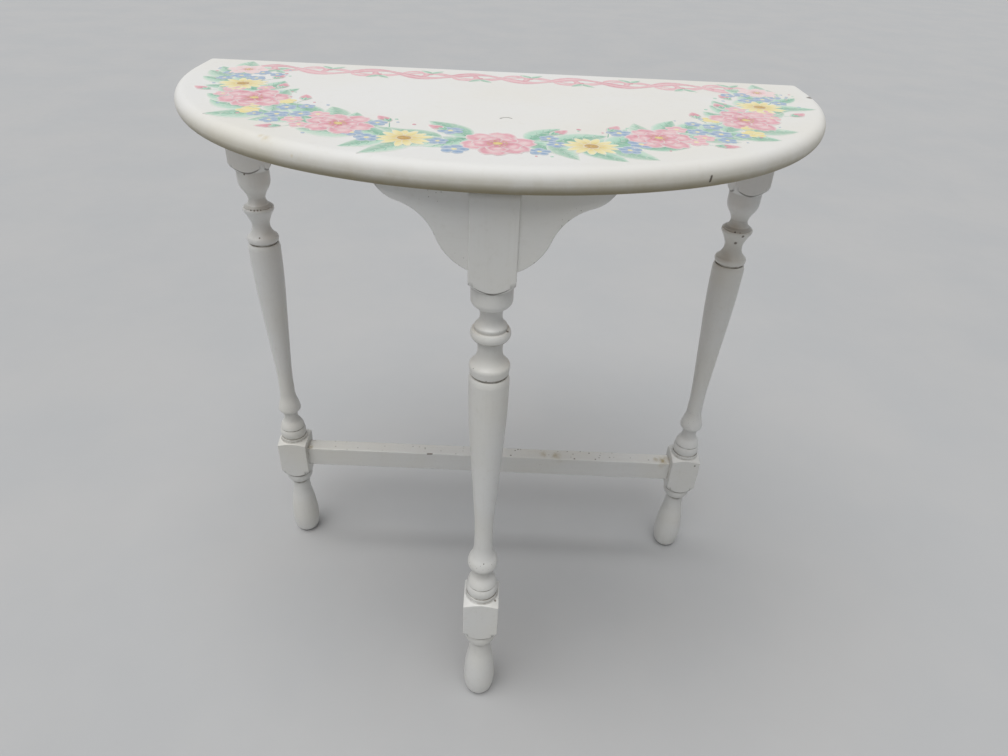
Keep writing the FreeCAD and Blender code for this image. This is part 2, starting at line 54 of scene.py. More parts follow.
# How fine the brush marks are in x, y and z, on an upright piece and on a level one
UPRIGHT_STROKES, LEVEL_STROKES = (330, 330, 16), (16, 330, 330)


def rgb(red, green, blue):
    """A colour written the usual way, as linear light."""
    levels = [value / 255 for value in (red, green, blue)]
    return [v / 12.92 if v <= 0.04045 else ((v + 0.055) / 1.055) ** 2.4 for v in levels] + [1.0]


def arc(start, end, turn, step):
    """Points from one corner up to the next along an arc that turns by so many degrees to the left."""
    start, end = np.array(start, float), np.array(end, float)
    chord = end - start
    length = np.hypot(*chord)
    if not turn:
        count = max(1, round(length / step))
        return [start + chord * i / count for i in range(count)]
    bend = radians(turn)
    radius = length / (2 * sin(abs(bend) / 2))
    count = max(2, round(radius * abs(bend) / step))
    heading = atan2(chord[1], chord[0])
    points = []
    for i in range(count):
        part = i / count
        reach = 2 * radius * sin(abs(bend) * part / 2)
        angle = heading - bend / 2 + bend * part / 2
        points.append(start + reach * np.array([cos(angle), sin(angle)]))
    return points


def trace(corners, step, closed=False):
    """A fine polyline through corners of (across, up) or (across, up, turn to the next)."""
    count = len(corners)
    points = []
    for i in range(count if closed else count - 1):
        corner, after = corners[i], corners[(i + 1) % count]
        points += arc(corner[:2], after[:2], corner[2] if len(corner) > 2 else 0, step)
    return np.array(points if closed else points + [np.array(corners[-1][:2], float)])


def smooth(values, spacing, width):
    """Values along a line, averaged over a bell of the given width. The ends hold still."""
    half = int(3 * width / spacing)
    bell = np.exp(-0.5 * (np.arange(-half, half + 1) * spacing / width) ** 2)
    bell /= bell.sum()
    before = 2 * values[0] - values[half:0:-1]
    after = 2 * values[-1] - values[-2:-half - 2:-1]
    return np.convolve(np.concatenate([before, values, after]), bell, "valid")


def thin_out(points, tolerance, longest):
    """The places in a polyline of the points that its shape needs."""
    look_ahead = 400
    keep = [0]
    i = 0
    while i < len(points) - 1:
        best = i + 1
        for j in range(i + 2, min(len(points), i + look_ahead)):
            chord = points[j] - points[i]
            length = np.hypot(*chord)
            if length > longest[i]:
                break
            off = points[i + 1:j] - points[i]
            if np.abs(off[:, 0] * chord[1] - off[:, 1] * chord[0]).max() / max(length, 1e-9) > tolerance:
                break
            best = j
        keep.append(best)
        i = best
    return keep


def ramp(values, start, width):
    """Zero up to the start, and one from its width further on."""
    return np.clip((values - start) / width, 0, 1)


def tube_faces(rings, count, first=3):
    """A closed tube's two ends, then its quads, each listed from the given corner on."""
    grid = np.arange(rings * count).reshape(rings, count)
    beside = np.roll(grid, -1, 1)
    quads = np.stack([grid[:-1], grid[1:], beside[1:], beside[:-1]], -1).reshape(-1, 4)
    return [grid[0].tolist(), grid[-1, ::-1].tolist(), *np.roll(quads, -first, 1).tolist()]


def make_mesh(name, points, faces, floats=None, tints=None):
    """A mesh from points in millimetres, with named values at its points."""
    mesh = bpy.data.meshes.new(name)
    mesh.from_pydata([tuple(c * MM for c in p) for p in points], [], faces)
    for key, values in (floats or {}).items():
        mesh.attributes.new(key, "FLOAT", "POINT").data.foreach_set("value", np.array(values, np.float32))
    if tints is not None:
        layer = mesh.color_attributes.new("tint", "FLOAT_COLOR", "POINT")
        layer.data.foreach_set("color", np.array(tints, np.float32).ravel())
    return mesh


def face_outwards(mesh):
    """Turns the faces of closed bodies to look outwards."""
    build = bmesh.new()
    build.from_mesh(mesh)
    bmesh.ops.recalc_face_normals(build, faces=build.faces)
    build.to_mesh(mesh)
    build.free()


def shade(mesh, flat_area):
    """Smooth shading, but for faces larger than so many square millimetres."""
    mesh.shade_smooth()
    for polygon in mesh.polygons:
        if polygon.area > flat_area * MM ** 2:
            polygon.use_smooth = False


def add_object(name, data):
    """A new object in the scene."""
    item = bpy.data.objects.new(name, data)
    bpy.context.scene.collection.objects.link(item)
    return item


def add_piece(name, mesh, material, slot, *nodes):
    """A piece that rides on the table and stands for the given CAD nodes."""
    piece = add_object(name, mesh)
    mesh.materials.append(material)
    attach(piece, "root")
    if nodes:
        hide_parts(*nodes)


class Nodes:
    """Nodes in a tree, and the links between them."""

    def __init__(self, tree):
        self.nodes, self.links = tree.nodes, tree.links

    def new(self, kind, inputs, **settings):
        node = self.nodes.new(kind)
        for key, value in settings.items():
            setattr(node, key, value)
        for key, value in inputs.items():
            self.put(node.inputs[key], value)
        return node

    def put(self, socket, value):
        if isinstance(value, bpy.types.NodeSocket):
            self.links.new(value, socket)
        else:
            socket.default_value = value

    def math(self, operation, first, second):
        return self.new("ShaderNodeMath", {0: first, 1: second}, operation=operation).outputs[0]


class Finish(Nodes):
    """A node material that is built up in layers."""

    def __init__(self, name):
        self.material = bpy.data.materials.new(name)
        self.material.use_nodes = True
        super().__init__(self.material.node_tree)
        self.shader = self.nodes["Principled BSDF"]
        where = self.nodes.new("ShaderNodeTexCoord").outputs
        self.place, self.facing = where["Object"], where["Normal"]

    def noise(self, scale, detail=4.0, rough=0.5, stretch=None, distortion=0.0):
        place = self.place
        if stretch:
            place = self.new("ShaderNodeMapping", {"Vector": place, "Scale": stretch}).outputs[0]
        inputs = {"Vector": place, "Scale": scale, "Detail": detail, "Roughness": rough,
                  "Distortion": distortion}
        return self.new("ShaderNodeTexNoise", inputs).outputs[0]

    def cells(self, scale):
        return self.new("ShaderNodeTexVoronoi", {"Vector": self.place, "Scale": scale}).outputs[0]

    def value(self, name, output="Fac"):
        return self.new("ShaderNodeAttribute", {}, attribute_name=name).outputs[output]

    def spread(self, value, low, high, to_low=0.0, to_high=1.0):
        inputs = {"Value": value, "From Min": low, "From Max": high, "To Min": to_low, "To Max": to_high}
        return self.new("ShaderNodeMapRange", inputs, interpolation_type="SMOOTHSTEP").outputs[0]

    def times(self, first, second):
        return self.math("MULTIPLY", first, second)

    def mix(self, factor, under, over, blend_type="MIX"):
        inputs = {0: factor, 6: under, 7: over}
        return self.new("ShaderNodeMix", inputs, data_type="RGBA", blend_type=blend_type).outputs[2]

    def spots(self, marks, ragged, core=0.9):
        """One where a mark is: each mark is a place and a radius in millimetres, with a ragged rim."""
        total, raggedness, fade = None, 1.2, 1.35
        for x, y, z, radius in marks:
            away = self.new("ShaderNodeVectorMath", {0: self.place, 1: (x * MM, y * MM, z * MM)},
                            operation="DISTANCE").outputs["Value"]
            away = self.math("ADD", away, self.times(ragged, radius * MM * raggedness))
            mark = self.spread(away, radius * MM * fade, radius * MM * core)
            total = mark if total is None else self.math("MAXIMUM", total, mark)
        return total

    def bump(self, height, strength, distance, before=None):
        inputs = {"Height": height, "Strength": strength, "Distance": distance}
        if before is not None:
            inputs["Normal"] = before
        return self.new("ShaderNodeBump", inputs).outputs[0]

    def finish(self, colour, roughness, normal, **fixed):
        self.put(self.shader.inputs["Base Color"], colour)
        self.put(self.shader.inputs["Roughness"], roughness)
        self.put(self.shader.inputs["Normal"], normal)
        for key, value in fixed.items():
            self.shader.inputs[key.replace("_", " ")].default_value = value
        return self.material


def white_paint(name, strokes, marks=(), stains=()):
    """Brushed satin paint with dirt in its hollows, painted shade in its hollows and under its overhangs, a
    painted shadow line under its blocks, and chips on its arrises.
    """
    white, warm, mottle = rgb(226, 226, 224), rgb(223, 221, 214), rgb(206, 203, 194)
    stroke, painted_shade, dirt_and_shade_brown = rgb(208, 206, 199), rgb(158, 153, 144), rgb(104, 92, 72)
    shadow_and_dirt_line, olive, dark = rgb(96, 92, 84), rgb(164, 146, 102), rgb(84, 68, 50)
    f = Finish(name)
    colour = f.mix(f.spread(f.noise(7, 3), 0.35, 0.7), white, warm)
    fine = f.noise(160, 6, 0.6)
    colour = f.mix(f.spread(fine, 0.5, 0.85, 0, 0.3), colour, mottle)
    brush = f.noise(1, 3, 0.55, strokes)
    colour = f.mix(f.spread(brush, 0.5, 0.8, 0, 0.16), colour, stroke)
    patch = f.noise(85, 5, 0.65)
    # Painted shade: hollows and the band above the bead's ledge are darkened to stand in for the shade that
    # falls there
    colour = f.mix(f.times(f.value("shade"), 0.62), colour, painted_shade)
    # Dirt in grooves, and painted shade with dirt in bands under the legs' overhanging parts
    dirt_and_shade_amount = f.times(f.value("grime"), f.spread(patch, 0.34, 0.66, 0.4, 1))
    colour = f.mix(f.spread(dirt_and_shade_amount, 0.08, 0.9, 0, 0.85), colour, dirt_and_shade_brown)
    # Painted shadow, with some dirt, in a thin line under the blocks' curved lower edges
    colour = f.mix(f.times(f.value("line"), f.spread(patch, 0.25, 0.6, 0.7, 0.92)), colour, shadow_and_dirt_line)
    # Specks: a few anywhere, and more of them where dust has lain
    dust = f.times(f.value("dust"), f.spread(f.noise(60, 3), 0.42, 0.52))
    speck = f.times(f.spread(f.cells(330), 0.15, 0.09), f.spread(f.noise(17, 2), 0.66, 0.72))
    speck = f.math("MAXIMUM", speck, f.times(f.spread(f.cells(140), 0.24, 0.12), dust))
    if stains:
        soaked = f.times(f.spots(stains, patch, 0.3), f.spread(fine, 0.35, 0.65, 0.5, 1.0))
        colour = f.mix(soaked, colour, olive)
    chip = f.times(f.value("wear"), f.spread(f.noise(210, 4, 0.6), 0.60, 0.72))
    flaw = f.math("MAXIMUM", f.spread(chip, 0.3, 0.55), speck)
    if marks:
        flaw = f.math("MAXIMUM", flaw, f.spots(marks, patch))
    colour = f.mix(f.times(flaw, 0.85), colour, dark)
    rough = f.spread(f.noise(40, 5, 0.6), 0.3, 0.75, 0.30, 0.46)
    normal = f.bump(brush, 0.10, 0.0004)
    normal = f.bump(fine, 0.05, 0.0003, normal)
    normal = f.bump(f.math("SUBTRACT", 1.0, flaw), 0.5, 0.0004, normal)
    return f.finish(colour, rough, normal, Specular_IOR_Level=0.45)


def gloss(f):
    """The roughness of the paint on the top and of the border on it."""
    return f.spread(f.noise(30, 5, 0.6), 0.3, 0.75, 0.42, 0.54)


def top_paint():
    """The top's ivory paint, yellowed round its rim and darkened towards the bullnose's underside as painted
    shade, worn off towards the bare underside.
    """
    corner_chip = [(334, 114, TOP, 5.5), (337, 119, 719, 5)]
    edge_nick = [(174 - 0.1 * i, -136.5 + 0.1 * i, 709 - 1.3 * i, 2.3) for i in range(4)]
    spill = [(-188.7, -122.7, TOP, 10), (-184, -131, TOP, 7), (-194, -117, TOP, 6), (-163, -141, 711.5, 2.6)]
    hook = [(0.6 + i * 1.0, -34.5 + 7.5 * sin(0.5 + i * 0.19), TOP, 1.9) for i in range(11)]
    f = Finish("ivory_top_paint")
    colour = f.mix(f.spread(f.noise(4, 3), 0.38, 0.68), rgb(234, 233, 230), rgb(232, 229, 221))
    fine = f.noise(140, 6, 0.6)
    colour = f.mix(f.spread(fine, 0.52, 0.85, 0, 0.25), colour, rgb(218, 213, 201))
    patch = f.noise(38, 6, 0.65)
    # Yellowing round the rim that deepens towards the bullnose's underside, then painted shade with dirt on
    # its lowest part
    yellowing_and_shade = f.times(f.value("rim"), f.spread(patch, 0.25, 0.7, 0.6, 1))
    colour = f.mix(f.spread(yellowing_and_shade, 0.02, 1, 0, 0.75), colour, rgb(190, 180, 148))
    colour = f.mix(f.spread(f.value("rim"), 0.52, 0.86, 0, 0.85), colour, rgb(126, 115, 82))
    brush = f.noise(1, 3, 0.55, (14, 620, 620))
    flaw = f.spots(corner_chip + edge_nick, patch)
    stain = f.times(f.spots(spill, patch, 0.3), f.spread(fine, 0.35, 0.65, 0.2, 0.6))
    colour = f.mix(stain, colour, rgb(200, 178, 118))
    colour = f.mix(f.times(flaw, 0.88), colour, rgb(72, 60, 47))
    # A short hooked scratch, and the grain of the bare underside beyond the paint's ragged edge
    colour = f.mix(f.times(f.spots(hook, fine), 0.85), colour, rgb(96, 90, 80))
    grain = f.noise(1, 5, 0.6, (9, 190, 190), 0.6)
    rings = f.noise(1, 2, 0.5, (3, 34, 34), 1.5)
    wood = f.mix(f.spread(grain, 0.35, 0.7), rgb(196, 163, 118), rgb(158, 121, 80))
    wood = f.mix(f.spread(rings, 0.45, 0.62, 0, 0.45), wood, rgb(139, 102, 64))
    bare = f.spread(f.math("ADD", f.value("bare"), f.times(patch, 0.5)), 0.70, 0.78)
    rise = f.new("ShaderNodeSeparateXYZ", {0: f.facing}).outputs[2]
    bare = f.times(bare, f.spread(rise, -0.4, -0.8))
    colour = f.mix(bare, colour, wood)
    rough = f.mix(bare, gloss(f), f.spread(grain, 0.2, 0.8, 0.6, 0.8))
    normal = f.bump(brush, 0.025, 0.0004)
    normal = f.bump(fine, 0.02, 0.0003, normal)
    normal = f.bump(f.math("SUBTRACT", 1.0, flaw), 0.5, 0.0005, normal)
    return f.finish(colour, rough, normal, Specular_IOR_Level=0.16)


def border_paint():
    """Thin washes of colour, unevenly settled, under the same gloss as the top."""
    f = Finish("border_wash")
    tint = f.value("tint", "Color")
    settled = f.noise(260, 6, 0.65)
    colour = f.mix(f.spread(settled, 0.42, 0.78, 0, 0.55), tint, rgb(232, 228, 220))
    pooled = f.spread(f.noise(85, 4, 0.6), 0.5, 0.8, 0, 0.35)
    colour = f.mix(pooled, colour, tint, "MULTIPLY")
    return f.finish(colour, gloss(f), f.bump(settled, 0.03, 0.0003), Specular_IOR_Level=0.16)


def bare_wood(name, light, dark, along):
    """Planed softwood with its grain along one axis, dusty in its pores."""
    f = Finish(name)
    scale = [11 if axis == along else 210 for axis in "xyz"]
    grain = f.noise(1, 6, 0.6, scale, 0.5)
    bands = f.noise(1, 2, 0.5, [value / 6 for value in scale], 1.4)
    colour = f.mix(f.spread(grain, 0.34, 0.7), light, dark)
    colour = f.mix(f.spread(bands, 0.42, 0.64, 0, 0.5), colour, rgb(132, 96, 60))
    colour = f.mix(f.spread(f.noise(30, 4), 0.5, 0.75, 0, 0.3), colour, rgb(176, 165, 148))
    rough = f.spread(grain, 0.2, 0.8, 0.58, 0.82)
    return f.finish(colour, rough, f.bump(grain, 0.3, 0.0005), Specular_IOR_Level=0.3)


def screw_metal():
    """Dull zinc with a little rust."""
    f = Finish("screw_steel")
    rust = f.spread(f.noise(700, 5), 0.5, 0.68)
    colour = f.mix(rust, rgb(150, 148, 142), rgb(116, 84, 58))
    rough = f.spread(f.noise(900, 4), 0.3, 0.7, 0.35, 0.6)
    return f.finish(colour, rough, f.bump(rust, 0.3, 0.0002), Metallic=0.8)


def leg_levels(rear):
    """Heights of the bead's ledge, the bell's lip and the ankle, which differ on the rear legs."""
    return (556.6, 242.5, 109.0) if rear else (559.6, 239.5, 105.5)


def leg_corners(rear):
    """Corners of the leg's turned outline from the top down, blocks left wide."""
    ledge, lip, ankle = leg_levels(rear)
    waste, crown = 31.5, HALF_SIDE * 0.95
    shaft_top, shaft_foot = 509.1, 277.0
    length = shaft_top - shaft_foot
    # The cup, the bead between its two necks, the top of the collar, and the bell at the shaft's foot
    if rear:
        cup = [(19.4, 592, -35), (15.5, 579.6, 23), (10.3, 568.5, 70)]
        bead = [(16.8, 558.4), (16.8, 557.0), (17.2, ledge), (18.6, ledge, -60), (17.4, 550.5, 14),
                (11.2, 536.5, 66)]
        collar = [(18.6, 518.5, -25), (19.6, 514.8)]
        bell = [(13.2, 259.5, -8), (15.8, 247.5, -60)]
    else:
        cup = [(19.4, 591, -78), (13.0, 583.2), (12.3, 583.2, 22), (10.4, 573.5, 54)]
        bead = [(15.3, 563.8), (15.3, 560.0), (15.6, ledge), (17.6, ledge, -110), (14.0, 548.2),
                (12.8, 548.2, 10), (11.9, 537.5, 54)]
        collar = [(19.0, 522, -20), (19.9, 519.3)]
        bell = [(14.2, 257.8, -31), (17.5, 246, -64)]
    return [
        (waste, UNDERSIDE), (waste, 616.1), (19.4, 604), *cup, *bead, *collar,
        (18.9, 512), (16.9, 512), (16.9, shaft_top),
        (18.4, shaft_top, -30), (20.0, shaft_top - length * 0.036, -4), (16.9, shaft_top - length * 0.40),
        (11.0, shaft_top - length * 0.82, 5), (10.6, shaft_foot, 24), *bell,
        # The dome, the ring and the fillet that stand on the lower block
        (13.6, lip), (11.0, lip, 20), (9.9, 232.6, 35), (12.5, 223.5, -30), (17.3, 212.5), (16.3, 212.5),
        (16.3, 211), (16.9, 211, -55), (16.9, 196.6), (18.6, 196.6), (18.6, 193, 30), (crown, 191),
        (waste, 191 - (waste - crown) * 0.43),
        # The ring under the lower block, the ankle and the foot
        (waste, 127.5 + (waste - HALF_SIDE) * 1.05), (18.8, 125.2, -62), (14.6, ankle), (13.2, ankle, 9),
        (14.2, 83.5, -9), (20.0, 39.2, -17), (18.0, 10, -52), (10.0, 0),
    ]


def leg_outline(rear):
    """The leg's radii and heights, and how far each point is a ridge and lies in a hollow."""
    step, soft, tolerance, near, far = 0.2, 0.24, 0.015, 0.45, 9.0
    line = trace(leg_corners(rear), step)
    radius, height = smooth(line[:, 0], step, soft), smooth(line[:, 1], step, soft)
    # Hollows and ridges against the same outline drawn with a softer pencil
    clipped = np.minimum(radius, HALF_SIDE + 1)
    ridge = clipped - smooth(clipped, step, 1.3)
    hollow = np.clip((smooth(clipped, step, 6.0) - clipped) / 4.5, 0, 1)
    # Rings lie close where the turning cuts into a block, and where the cup begins
    close = (radius > HALF_SIDE * 0.95) & (radius < 30.5) | (height > 600.5) & (height < 604.5)
    keep = thin_out(np.stack([radius, height], -1), tolerance, np.where(close, near, far))
    return radius[keep], height[keep], ridge[keep], hollow[keep]


def leg_angles():
    """Directions round a leg, closer together towards the corners of its blocks."""
    octant = [*range(0, 37, 3), 38.5, 40.5, 42.2, 43.5, 44.4, 45]
    quarter = octant + [90 - angle for angle in octant[-2:0:-1]]
    return np.radians([angle + 90 * side for side in range(4) for angle in quarter])


def leg_dirt_and_shade(rear, ledge_dirt, angles, square, outline):
    """Where a leg is dirty and worn, and where painted shade and a painted shadow line lie on it. Its ridges
    and its blocks' corners wear.
    """
    ledge, lip, ankle = leg_levels(rear)
    wide, tall, ridge, hollow = (values[:, None] for values in outline)
    flat = np.clip((wide - square) / 1.2, 0, 1)
    from_corner = np.degrees(angles) % 90 - 45
    corner = np.exp(-(from_corner / 3.0) ** 2)[None, :] * flat
    wear = np.clip(np.maximum(np.clip(ridge / 0.5, 0, 1) * (1 - flat), 0.45 * corner), 0, 1)
    # A thin dark line is painted under the curved lower edge of each face of the blocks: painted shadow on
    # the sliver that faces down there, with some dirt
    line = np.zeros_like(flat)
    for foot, core, slope in BLOCK_CUTS:
        below = foot + (square - core) * slope - tall
        line = np.maximum(line, ramp(below, -0.1, 0.4) * ramp(-below, -2.8, 0.8))
    line *= ramp(np.abs(from_corner), 3, 9)
    # Dirt lies in grooves, but less on the bead's ledge, and painted shade with dirt darkens the bands under
    # parts that overhang
    on_ledge = (tall > ledge - 2.6) & (tall < ledge + 3.4)
    at_cup = (tall > 600) & (tall < 608)
    grime = np.clip(-ridge / 0.4, 0, 1) * (1 - flat)
    grime *= np.where(at_cup, 0.0, np.where(on_ledge, ledge_dirt, 1.0))
    bands = [(195.8, 198.4, 0.45), (192.4, 193.4, 0.25), (lip - 0.5, lip + 1.5, 0.5),
             (ankle - 3.7, ankle + 2.9, 1.0)]
    if not rear:
        bands += [(547.2, 552.0, 0.8), (582.8, 585.2, 0.4)]
    for low, high, strength in bands:
        grime = np.maximum(grime, strength * ramp(tall, low, 0.8) * ramp(-tall, -high, 0.8))
    # Painted shade: the hollows and the band just above the bead's ledge are darkened as if in shade
    above_ledge = (tall > ledge + 0.2) & (tall < ledge + 3.8)
    painted_shade = np.maximum(hollow, 0.7 * above_ledge) * (1 - flat)
    return {"grime": grime.ravel(), "wear": wear.ravel(), "line": line.ravel(), "shade": painted_shade.ravel()}


def make_leg(name, node, x, y, material, ledge_dirt):
    """A leg as rings: round where the lathe cut, square with soft arrises where it did not."""
    rear = y > 0
    outline = leg_outline(rear)
    angles = leg_angles()
    side_power, cut_power = 40, 170
    square = HALF_SIDE / (np.abs(np.cos(angles)) ** side_power
                          + np.abs(np.sin(angles)) ** side_power) ** (1 / side_power)
    wide, tall = outline[0][:, None], outline[1][:, None]
    reach = (square[None, :] ** -cut_power + wide ** -cut_power) ** (-1 / cut_power)
    points = np.stack([x + reach * np.cos(angles), y + reach * np.sin(angles),
                       np.repeat(tall, len(angles), 1)], -1).reshape(-1, 3)
    faces = tube_faces(len(wide), len(angles), first=0)
    mesh = make_mesh(name, points, faces, leg_dirt_and_shade(rear, ledge_dirt, angles, square, outline))
    shade(mesh, flat_area=200)
    add_piece(name, mesh, material, "painted_frame", node)


def top_outline():
    """The top's curved rim from the left rear corner round the front to the right one."""
    shoulder, side_return = 306.0, REAR - 38.0
    side_turn, bend_turn, front_turn = 22.0, 44.8, 46.4
    first, second = radians(side_turn), radians(side_turn + bend_turn)
    left = np.array([[cos(first) - cos(second), cos(second)],
                     [sin(second) - sin(first), 1 - sin(second)]])
    spare = np.array([HALF_WIDTH - shoulder * (1 - cos(first)),
                      side_return + REAR - shoulder * sin(first)])
    bend = np.linalg.solve(left, spare)[0]
    bend_start = side_return - shoulder * sin(first)
    reach = spare[0] - bend * left[0, 0]
    low = bend_start - bend * left[1, 0]
    return trace([
        (-HALF_WIDTH, REAR), (-HALF_WIDTH, side_return, side_turn), (-spare[0], bend_start, bend_turn),
        (-reach, low, front_turn), (reach, low, bend_turn), (spare[0], bend_start, side_turn),
        (HALF_WIDTH, side_return), (HALF_WIDTH, REAR)], 4.0)


def left_of(steps):
    """Unit vectors to the left of the given steps."""
    steps = steps / np.hypot(steps[:, 0], steps[:, 1])[:, None]
    return np.stack([-steps[:, 1], steps[:, 0]], -1)


def inset_line(line, inset):
    """The rim's line moved inwards."""
    moved = line + left_of(np.gradient(line, axis=0)) * inset
    moved[0, 1], moved[-1, 1] = line[0, 1], line[-1, 1]
    return moved


def top_section():
    """The rim's section from the upper face to the lower one: inset, height, a tone for yellowing and
    painted shade, and bareness.
    """
    nose, middle, land = 11.0, (TOP + UNDERSIDE) / 2, 0.5
    section = [(34.0, TOP, 0, 0), (nose + 4, TOP, 0, 0)]
    for level, angles in ((middle + land, np.linspace(90, 0, 10)), (middle - land, np.linspace(0, -90, 10))):
        for angle in angles:
            turn = radians(angle)
            tone = 0.55 * (1 - angle / 90) ** 1.5 if level > middle else 0.55 + 0.45 * (-angle / 90) ** 0.8
            section.append((nose - nose * cos(turn), level + nose * sin(turn), tone, 0))
    return section + [(nose + 3, UNDERSIDE, 0.9, 0.05), (nose + 12, UNDERSIDE, 0.4, 0.45),
                      (nose + 26, UNDERSIDE, 0, 1.0)]


def soften_rear(mesh):
    """Rounds the arris of the top's rear face, where the paint is a little yellow."""
    arris, yellowing_and_shade = 2.0, 0.25

    def at_rear(corner):
        return abs(corner.co.y - REAR * MM) < 1e-6

    build = bmesh.new()
    build.from_mesh(mesh)
    edges = [edge for edge in build.edges if all(at_rear(corner) for corner in edge.verts)]
    bmesh.ops.recalc_face_normals(build, faces=build.faces)
    bmesh.ops.bevel(build, geom=edges, offset=arris * MM, segments=4, profile=0.5, affect="EDGES",
                    clamp_overlap=True)
    bmesh.ops.recalc_face_normals(build, faces=build.faces)
    tone = build.verts.layers.float["rim"]
    for corner in build.verts:
        if at_rear(corner):
            corner[tone] = yellowing_and_shade
    build.to_mesh(mesh)
    build.free()


def make_top(material):
    """The top: a bullnose round the curve, a soft rear arris, and paint lapped under."""
    line, section = top_outline(), top_section()
    count, rows = len(line), len(section)
    points, rim, bare = [], [], []
    for inset, height, tone, exposed in section:
        points += [(px, py, height) for px, py in inset_line(line, inset)]
        rim += [tone] * count
        bare += [exposed] * count
    grid = np.arange(rows * count).reshape(rows, count)
    quads = np.stack([grid[:-1, 1:], grid[:-1, :-1], grid[1:, :-1], grid[1:, 1:]], -1).reshape(-1, 4)
    rear = np.concatenate([grid[:, 0], grid[::-1, -1]])
    faces = [grid[0].tolist(), *quads.tolist(), grid[-1, ::-1].tolist(), rear.tolist()]
    mesh = make_mesh("top", points, faces, {"rim": rim, "bare": bare})
    soften_rear(mesh)
    shade(mesh, flat_area=10000)
    add_piece("top", mesh, material, "painted_top", "top_panel")


def offset_loop(loop, inset):
    """A closed outline, drawn anticlockwise, moved inwards with mitred corners."""
    one, two = left_of(loop - np.roll(loop, 1, 0)), left_of(np.roll(loop, -1, 0) - loop)
    return loop + (one + two) * (inset / (1 + (one * two).sum(1)))[:, None]


def make_bracket(name, side, material):
    """An ogee bracket with soft arrises on its face and back."""
    half, soft, setback = 10.0, 1.3, 2
    # It runs a little into the block and the top, so that its soft arrises leave no groove
    corners = [(-3, -72.8), (0, -71.5, 46), (27.25, -43, -52), (58.1, -12.9, 40), (75.5, 0), (76.8, 1.6),
               (-3, 1.6)]
    loop = trace(corners, 2.0, True)
    sharp = np.array([corners[i] for i in (0, 4, 5, 6)], float)
    away = np.hypot(*(loop[:, None] - sharp[None]).transpose(2, 0, 1)).min(1)
    loop = loop[(away > 6) | (away < 0.01)]
    rings = [(soft - soft * cos(turn), half - soft + soft * sin(turn))
             for turn in np.linspace(pi / 2, 0, 5)]
    rings += [(inset, -depth) for inset, depth in reversed(rings)]
    middle = FRONT_AXIS - HALF_SIDE + setback + half
    points, wear = [], []
    for i, (inset, depth) in enumerate(rings):
        on_arris = i in (1, 2, 3, 6, 7, 8)
        for px, pz in offset_loop(loop, inset):
            points.append(((HALF_SIDE + px) * side, middle - depth, UNDERSIDE + pz))
            wear.append(1.0 if on_arris and px > 1 and pz < -1 else 0.0)
    mesh = make_mesh(name, points, tube_faces(len(rings), len(loop)), {"wear": wear})
    face_outwards(mesh)
    shade(mesh, flat_area=500)
    add_piece(name, mesh, material, "painted_frame", "front_" + name)


def bar_section():
    """The bar's section: across, up, which arris a point is at, and whether it is on its round."""
    half_deep, half_high, soft, lead = 11.0, 15.75, 1.5, 1.2
    round_angles = 22, 45, 68
    turns = [(0, -lead), (0, 0), *((angle, 0) for angle in round_angles), (90, 0), (90, lead)]
    section = []
    for arris, (cx, cz) in enumerate(((1, 1), (-1, 1), (-1, -1), (1, -1))):
        for angle, ahead in turns:
            turn = radians(90 * arris + angle)
            section.append((cx * (half_deep - soft) + soft * cos(turn) - ahead * sin(turn),
                            cz * (half_high - soft) + soft * sin(turn) + ahead * cos(turn),
                            arris, angle in round_angles))
    return section


def make_stretcher(material):
    """The bar between the rear legs, its arrises knocked here and there, with its tenons."""
    rng = np.random.default_rng(5)
    half_length, tenon = 278.0, 20
    tenon_corners = (-5, -11), (5, -11), (5, 11), (-5, 11)
    stations = np.linspace(-half_length, half_length, 181)
    last = len(stations) - 1
    section = bar_section()
    # The deepest knocks in each arris, in the left half and in the right half
    knocks = np.zeros((len(stations), 4))
    for edge, left, right in ((1, 0.7, 0.6), (2, 4.0, 1.0), (0, 0.6, 0.6), (3, 0.8, 0.8)):
        rough = smooth(rng.random(len(stations)) ** 6, 1, 0.8)
        deepest = np.where(stations < 0, left, right)
        knocks[:, edge] = np.clip((rough - rough.mean()) / max(rough.max(), 1e-6), 0, 1) * deepest
    points, wear, grime, dust = [], [], [], []
    for i, px in enumerate(stations):
        for py, pz, edge, on_round in section:
            cut = knocks[i, edge] if on_round and 3 < i < last - 3 else 0.0
            away = np.array([py, pz]) / hypot(py, pz)
            points.append((px, REAR_AXIS + py - away[0] * cut, BAR_LEVEL + pz - away[1] * cut))
            wear.append(min(1.0, 0.25 + 0.6 * cut) if on_round else 0.0)
            grime.append(0.6 if i in (0, last) else 0.0)
            dust.append((1.0 if 15 < px < 165 else 0.5) if pz > 15.7 else 0.0)
    faces = tube_faces(len(stations), len(section))
    for end in (-1, 1):
        base = len(points)
        for px in (end * (half_length - 1), end * (half_length + tenon)):
            points += [(px, REAR_AXIS + py, BAR_LEVEL + pz) for py, pz in tenon_corners]
        faces += [[base + corner for corner in face] for face in tube_faces(2, 4)]
        for values in (wear, grime, dust):
            values += [0.0] * 8
    mesh = make_mesh("stretcher", points, faces, {"wear": wear, "grime": grime, "dust": dust})
    face_outwards(mesh)
    mesh.shade_smooth()
    mesh.set_sharp_from_angle(angle=radians(50))
    add_piece("stretcher", mesh, material, "painted_frame", "rear_stretcher")


